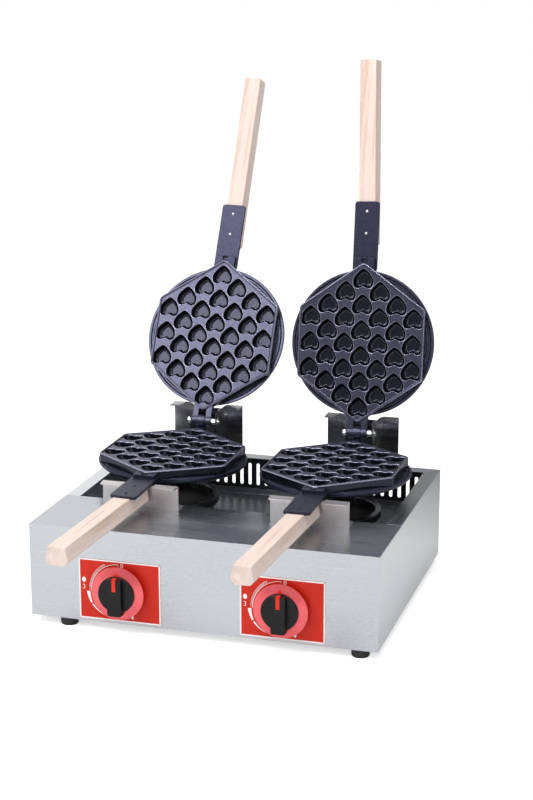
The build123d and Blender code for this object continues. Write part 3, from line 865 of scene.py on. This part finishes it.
def draw_digits(bm):
    """0 at the top, 3 at the strong end and 1 at the weak end of the scale."""
    stroke(bm, [(-2.6, 33.0), (-0.6, 33.0)], [0.6, 0.6])
    zero = [(3.4 + 1.45 * math.cos(a), 33.0 + 2.1 * math.sin(a))
            for a in (2 * math.pi * k / 20 for k in range(21))]
    stroke(bm, zero, [0.75] * 21)
    upper = arc_points((-46.0, 3.5), (1.25, 1.25), 150, -80, 10)
    lower = arc_points((-46.0, 0.9), (1.45, 1.45), 80, -150, 10)
    stroke(bm, upper, [0.7] * 11)
    stroke(bm, lower, [0.7] * 11)
    stroke(bm, [(10.2, -31.4), (11.2, -30.6), (11.2, -34.0)], [0.6, 0.6, 0.6])


def draw_pointer_cap(bm):
    """The pointer's red over the end of the grip's bar and a short way up the skirt."""
    half = 2.2
    skirt = -PLATE_T - KNOB_GAP - SKIRT_T
    low = BAR_TOP - 0.5
    for front, back, high in ((skirt - BAR_T, skirt, BAR_TOP + 0.25),
                              (skirt - 0.3, skirt + 1, BAR_TOP + 4.6)):
        slab(bm, [(half, front), (-half, front), (-half, back), (half, back)], low, high, 0.1)


def build_prints():
    """The white marks on each plate and the red line over each knob's edge."""
    for side, sign in SIDES.items():
        place = at_drawing(sign * KNOB_X, -PLATE_T, KNOB_Z) @ turn(90, "X")
        merged(f"control_marks_{side}", draw_prints, place, "casing", print_white)
        merged(
            f"pointer_cap_{side}", draw_pointer_cap, at_drawing(sign * KNOB_X, 0, KNOB_Z),
            f"knob_{side}", pointer_red)


# Pans

def seat_place(side):
    """The hinge's centre with the pan's roll."""
    sign = SIDES[side]
    return at_drawing(sign * PAN_X, HINGE_Y, HINGE_Z) @ turn(-sign * PAN_ROLL, "Y")


def half_place(side, upper):
    """From a plate drawn face up about its own centre to its place in the pan."""
    place = seat_place(side)
    if not upper:
        return place @ shift(0, -PLATE_REACH, -HINGE_RISE)
    lid = place @ turn(-90 - LID_TILT[side], "X")
    return lid @ shift(0, -PLATE_REACH, CLOSED_GAP - HINGE_RISE) @ turn(180, "Y")


def hinge_place(side, upper):
    place = seat_place(side)
    if not upper:
        return place
    return place @ turn(-90 - LID_TILT[side], "X")


def hexagon():
    corners = [
        (0, HEX_TIP), (-HEX_SIDE, HEX_SHOULDER), (-HEX_SIDE, -HEX_SHOULDER),
        (0, -HEX_TIP), (HEX_SIDE, -HEX_SHOULDER), (HEX_SIDE, HEX_SHOULDER),
    ]
    return rounded_polygon(corners, HEX_ROUND, 8)


def heart():
    """A soft heart: a closed cubic B-spline through a few control points."""
    right = [(4.2, -11.8), (11.4, -4.8), (15.2, 3.4), (12.8, 12.4), (5.4, 13.7)]
    left = [(-x, y) for x, y in reversed(right)]
    control = [(0, -14.6)] + right + [(0, 8.6)] + left
    count = len(control)
    outline = []
    for k in range(HEART_POINTS):
        position = count * k / HEART_POINTS
        i = int(position)
        t = position - i
        weights = (
            (1 - t) ** 3 / 6, (3 * t ** 3 - 6 * t * t + 4) / 6,
            (-3 * t ** 3 + 3 * t * t + 3 * t + 1) / 6, t ** 3 / 6,
        )
        x = sum(w * control[(i + n - 1) % count][0] for n, w in enumerate(weights))
        y = sum(w * control[(i + n - 1) % count][1] for n, w in enumerate(weights))
        outline.append((x, y))
    return outline


def heart_places():
    places = []
    for column in range(-3, 4):
        count = 6 - abs(column)
        for row in range(count):
            places.append((column * HEART_COLUMN, (row - (count - 1) / 2) * HEART_PITCH))
    return places


def draw_pocket(bm, outline, x, y, face):
    """One pocket below a loop on the face; gives back the loop on the face."""
    # (inwards from the rim, height, surface) down the rounded lip, the wall and the dished floor;
    # surface 2 on the lip is a painted highlight and surface 1 in the wall and floor a painted
    # shade
    wall = [
        (0.0, 0.0, 2), (0.25, -0.05, 2), (0.55, -0.3, 2), (0.75, -0.8, 1),
        (1.5, -HEART_DEPTH + 4.4, 1), (2.1, -HEART_DEPTH + 2.7, 1),
        (3.0, -HEART_DEPTH + 1.4, 1), (4.4, -HEART_DEPTH + 0.5, 1), (6.6, -HEART_DEPTH, 1),
    ]
    mean_radius = 12.0
    loops = []
    for inwards, down, _ in wall:
        ring = scaled(outline, 1 - inwards / mean_radius, about=(0, 0.5))
        loops.append(add_loop(bm, moved_by(ring, x, y), face + down))
    for first, second, (_, _, index) in zip(loops, loops[1:], wall):
        bridge(bm, first, second, index)
    bm.faces.new(loops[-1]).material_index = 1
    return loops[0]


def draw_slab(bm):
    """The hexagonal slab with its raised rim and thirty heart pockets."""
    outline = hexagon()
    face = -1.0
    # (inwards, height, surface) up the side in surface 1, a painted shade, over the rounded outer
    # edge of the rim in surface 2, a painted highlight, and down to the face
    profile = [
        (2.0, -SLAB_T, 1), (0.35, -SLAB_T, 1), (0.0, -SLAB_T + 0.5, 1), (0.0, -1.3, 2),
        (0.3, -0.5, 2), (1.1, 0.0, 0), (2.0, 0.0, 0), (2.5, -0.25, 0), (3.0, -0.8, 0),
        (3.6, face, 0),
    ]
    loops = [add_loop(bm, inset(outline, inwards), z) for inwards, z, _ in profile]
    bm.faces.new(loops[0])
    for first, second, (_, _, index) in zip(loops, loops[1:], profile):
        bridge(bm, first, second, index)
    shape = scaled(heart(), 1.03)
    holes = [draw_pocket(bm, shape, x, y, face) for x, y in heart_places()]
    face_with_holes(bm, loops[-1], holes, face)


def draw_disc(bm):
    """The round base behind the slab, with turned ridges on its front and ribs on its back."""
    under = -SLAB_T
    profile = [
        (0, under), (80.0, under), (87.0, under), (87.5, under - 1.6),
        (88.4, under - 1.8), (89.1, under - 0.4), (89.6, under), (91.2, under),
        (91.6, under - 0.5), (92.1, under - 1.2), (92.7, under - 0.5), (93.3, under - 0.1),
        (DISC_R - 0.8, under), (DISC_R - 0.2, under - 0.3), (DISC_R, under - 0.9),
        (DISC_R, under - 3.3), (DISC_R - 0.4, under - 4.2), (DISC_R - 3.0, under - 6.7),
        (DISC_R - 3.8, -18.0), (88.0, -18.0), (87.6, -17.6), (87.2, -15.2), (85.5, -15.0),
    ]
    radius = 80.0
    while radius > 14:
        profile += [(radius, -15.0), (radius - 0.8, -14.5), (radius - 3, -14.5),
                    (radius - 3.8, -15.0)]
        radius -= 11.0
    profile.append((0, -15.0))
    lathe(bm, profile, 128)


def tip_edge(x, inwards):
    """How far out the hexagon's edge beside its tip lies at one x, less a distance."""
    return HEX_TIP - abs(x) * (HEX_TIP - HEX_SHOULDER) / HEX_SIDE - inwards


def neck_outline(half, end, radius, steps):
    """A strip from within the rim beside the hexagon's tip to a square end."""
    start = -tip_edge(half, 2.5)
    corners = [(half, start), (0, -HEX_TIP + 4.4), (-half, start), (-half, -end), (half, -end)]
    return rounded_polygon(corners, radius, steps)


def draw_neck(bm):
    """The flat neck and its raised bridge with a square recess, both starting in the rim."""
    outline = neck_outline(NECK_HALF, NECK_END, 3.5, 5)
    slab(bm, outline, NECK_TOP - NECK_T, NECK_TOP, 0.7)
    block = neck_outline(BRIDGE_HALF, BRIDGE_END, 1.2, 3)
    hole = rounded_polygon([(4.2, -106.9), (-4.2, -106.9), (-4.2, -112.0), (4.2, -112.0)], 0.8, 3)
    loops = [add_loop(bm, block, -10.9)]
    for inwards, down in ((0.0, 0.8), (0.3, 0.2), (0.7, 0.0)):
        loops.append(add_loop(bm, inset(block, inwards), BRIDGE_TOP - down))
    skin(bm, loops, close_last=False)
    pit = []
    for inwards, down in ((0.0, 0.0), (0.3, 0.3), (0.4, 3.4)):
        pit.append(add_loop(bm, inset(hole, inwards), BRIDGE_TOP - down))
    skin(bm, pit, close_first=False)
    face_with_holes(bm, loops[-1], [pit[0]], BRIDGE_TOP)


def draw_cylinder_x(bm, radius, x0, x1):
    """A round lug along X with softened ends."""
    part = bmesh.new()
    rod(part, radius, x0, x1, 0.6, 40)
    add_part(bm, part, turn(90, "Y"))


def draw_knuckle(bm):
    """The pan's middle knuckle and the arm from it into the slab's tip."""
    half = KNUCKLE_HALF
    draw_cylinder_x(bm, KNUCKLE_R, -half, half)
    slab(bm, [(half, 0), (-half, 0), (-half, -20), (half, -20)], -17.0, -7.7, 0.5)


def draw_lugs(bm):
    """The lid's two lugs, which start under its raised rim."""
    for way in (-1, 1):
        near, far = way * LUG_NEAR, way * LUG_FAR
        draw_cylinder_x(bm, LUG_R, *sorted((near, far)))
        corners = [
            (far, 0), (near, 0), (near, tip_edge(near, 1.4) - PLATE_REACH),
            (far, tip_edge(far, 1.4) - PLATE_REACH),
        ]
        if way < 0:
            corners.reverse()
        slab(bm, corners, -4.9, 3.5, 0.5)


def handle_section(top, half_top):
    """The section of a handle in (x, z): a trapezium with its lower corners cut."""
    low = -WOOD_DROP - WOOD_DEEP
    corners = [
        (half_top, top), (-half_top, top), (-WOOD_HALF, low + WOOD_CORNER),
        (WOOD_CORNER - WOOD_HALF, low), (WOOD_HALF - WOOD_CORNER, low),
        (WOOD_HALF, low + WOOD_CORNER),
    ]
    return rounded_polygon(corners, 0.8, 3)


def draw_handle(bm, skew):
    """The half-handle: thinner where it is lapped under the neck, then at its full section."""
    pivot = sum(RIVET_AT) / 2
    place = Matrix.Translation((0, -pivot, 0)) @ turn(skew, "Z") @ Matrix.Translation((0, pivot, 0))
    lap = handle_section(NECK_TOP - NECK_T - 0.05, WOOD_HALF_TOP)
    full = handle_section(-WOOD_DROP, WOOD_HALF_TOP)
    step = NECK_END + 0.3
    # (section, inwards, distance from the plate's centre)
    course = [
        (lap, 1.0, WOOD_START), (lap, 0.3, WOOD_START + 0.3), (lap, 0.0, WOOD_START + 1.0),
        (lap, 0.0, step), (full, 0.0, step), (full, 0.0, WOOD_END - 1.2),
        (full, 0.35, WOOD_END - 0.35), (full, 1.2, WOOD_END),
    ]
    part = bmesh.new()
    skin(part, [add_loop(part, inset(section, inwards), at) for section, inwards, at in course])
    bmesh.ops.remove_doubles(part, verts=part.verts, dist=0.06)
    add_part(bm, part, place @ turn(90, "X"))


def draw_rivets(bm):
    """Two rivets through the neck and the handle, with low domed heads."""
    for at in RIVET_AT:
        part = bmesh.new()
        top = NECK_TOP + 0.05
        foot = -WOOD_DROP - WOOD_DEEP
        profile = [
            (0, foot - 1.2), (1.6, foot - 1.0), (2.6, foot - 0.1), (2.6, foot), (1.4, foot),
            (1.4, top), (1.9, top), (1.9, top + 0.25), (1.4, top + 0.8), (0.7, top + 1.1),
            (0, top + 1.2),
        ]
        lathe(part, profile, 32)
        add_part(bm, part, Matrix.Translation((0, -at, 0)))


def build_half(side, upper):
    """One cast half with its disc, neck, hinge part, handle and rivets."""
    half = "upper" if upper else "lower"
    body = f"lid_{side}" if upper else f"pan_{side}"
    place = half_place(side, upper)
    node = f"{half}_plate_{side}"

    # Surface 1 is a darker copy of the coating, a painted shade, and surface 2 a lighter copy, a
    # painted highlight.
    surfaces = (iron, pocket_iron, edge_iron)
    face = merged(f"{half}_hearts_{side}", draw_slab, place, body, surfaces, 40)
    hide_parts(node)
    # The pans' discs take the darker neck coating, a painted shade; the lids' discs keep the plain
    # coating.
    disc_surface_painted_shade_on_pans = iron if upper else neck_iron
    merged(f"{half}_disc_{side}", draw_disc, place, body, disc_surface_painted_shade_on_pans, 25)
    merged(f"{half}_neck_{side}", draw_neck, place, body, neck_iron, 40)
    draw = draw_lugs if upper else draw_knuckle
    merged(f"{half}_hinge_{side}", draw, hinge_place(side, upper), body, iron, 40)

    rotation = place.to_euler()
    wood = beech(f"beech_{half}_{side}", tuple(rotation), tuple(place.translation))
    skew = WOOD_SKEW[half, side]
    handle = merged(
        f"{half}_grip_{side}", lambda bm: draw_handle(bm, skew), place, body, wood, 25)
    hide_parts(f"{half}_handle_{side}")
    # The pans' rivets take the darker neck coating instead of zinc.
    rivets = merged(
        f"{half}_rivet_heads_{side}", draw_rivets, place, body,
        zinc_plate if upper else neck_iron, 40)
    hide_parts(f"{half}_rivets_{side}")


# Camera, light and floor

def build_camera():
    data = bpy.data.cameras.new("camera")
    data.sensor_fit = "AUTO"
    data.sensor_width = SENSOR
    data.lens = FOCAL_PX * SENSOR / IMAGE_H
    data.clip_end = 50.0
    camera = bpy.data.objects.new("camera", data)
    camera.location = CAMERA_AT
    camera.rotation_euler = (math.radians(90 - CAMERA_PITCH), 0, math.radians(CAMERA_YAW))
    bpy.context.scene.collection.objects.link(camera)
    bpy.context.scene.camera = camera


def softbox(name, at, aim, width, height, power):
    data = bpy.data.lights.new(name, "AREA")
    data.shape = "RECTANGLE"
    data.size = width
    data.size_y = height
    data.energy = power
    lamp = bpy.data.objects.new(name, data)
    lamp.location = at
    lamp.rotation_euler = (Vector(aim) - Vector(at)).to_track_quat("-Z", "Y").to_euler()
    bpy.context.scene.collection.objects.link(lamp)


def build_light():
    """A key from the left, a soft top, and narrow lamps for the small lights on the castings."""
    softbox("key", (-0.95, -1.2, 1.5), (0.0, 0.1, 0.3), 1.0, 0.8, 11.6)
    softbox("top", (0.0, 0.2, 2.1), (0.0, 0.1, 0.2), 1.6, 1.6, 6.8)
    softbox("right", (1.9, 0.2, 0.9), (0.1, 0.1, 0.1), 1.0, 1.2, 1.0)
    for x in (-0.45, -0.05, 0.35):
        softbox(f"strip_{x}", (x, -0.6, 1.5), (x, -0.6, 0.0), 0.04, 0.8, 3.4)
    for x, y in ((1.05, -1.75), (-1.5, -1.35)):
        softbox(f"bar_{x}", (x, y, 0.75), (0.0, 0.0, 0.2), 0.12, 0.9, 3.0)


def build_world():
    """White to the camera. In metal: bright at the back on the left, dark on its right, with a
    bright band above the front and above the back, and dark overhead."""
    world = bpy.data.worlds.new("studio")
    bpy.context.scene.world = world
    world.use_nodes = True
    g = Graph(world)
    direction = g.add("ShaderNodeSeparateXYZ", {
        "Vector": g.add("ShaderNodeTexCoord").outputs["Generated"],
    })
    x, y, z = direction.outputs
    azimuth = g.maths("ARCTAN2", x, y)
    fall = (math.radians(-21.0), math.radians(-12.6))
    rise = (math.radians(-12.4), math.radians(-10.6))
    back = g.maths("ADD", g.span(azimuth, 1.05, 0.03, *fall), g.span(azimuth, 0.0, 0.25, *rise))
    back = g.blend(g.span(z, 0.0, 1.0, 0.52, 0.7), back, 1.15)
    back = g.blend(g.span(z, 0.0, 1.0, 0.85, 0.95), back, 0.2)
    front = g.ramp(z, [
        (0.0, 0.3), (0.05, 0.4), (0.2, 0.4), (0.38, 0.45), (0.5, 0.9), (0.6, 0.8), (0.7, 0.35),
        (0.85, 0.4), (0.95, 0.2), (1.0, 0.2),
    ])
    glossy = g.blend(g.span(y, 0.0, 1.0, -0.15, 0.15), front, back)
    path = g.add("ShaderNodeLightPath")
    unseen = g.blend(path.outputs["Is Glossy Ray"], 0.5, glossy)
    shown = g.maths("MAXIMUM", path.outputs["Is Camera Ray"], path.outputs["Is Transmission Ray"])
    g.set(Strength=g.blend(shown, unseen, 1.0), Color=(1, 1, 1, 1))


def build_floor():
    mesh = bpy.data.meshes.new("floor")
    bm = bmesh.new()
    half = 4.0
    corners = [(-half, -half), (half, -half), (half, half), (-half, half)]
    bm.faces.new([bm.verts.new((x, y, 0)) for x, y in corners])
    bm.to_mesh(mesh)
    bm.free()
    floor = bpy.data.objects.new("floor", mesh)
    bpy.context.scene.collection.objects.link(floor)
    mesh.materials.append(floor_paint())


build_camera()
build_world()
build_light()
build_floor()
dress_casing()
build_screws()
build_backing()
build_prints()
for side_name in SIDES:
    dress_side(side_name)
    for is_upper in (False, True):
        build_half(side_name, is_upper)

bpy.context.scene.view_settings.view_transform = "Standard"
bpy.context.view_layer.update()
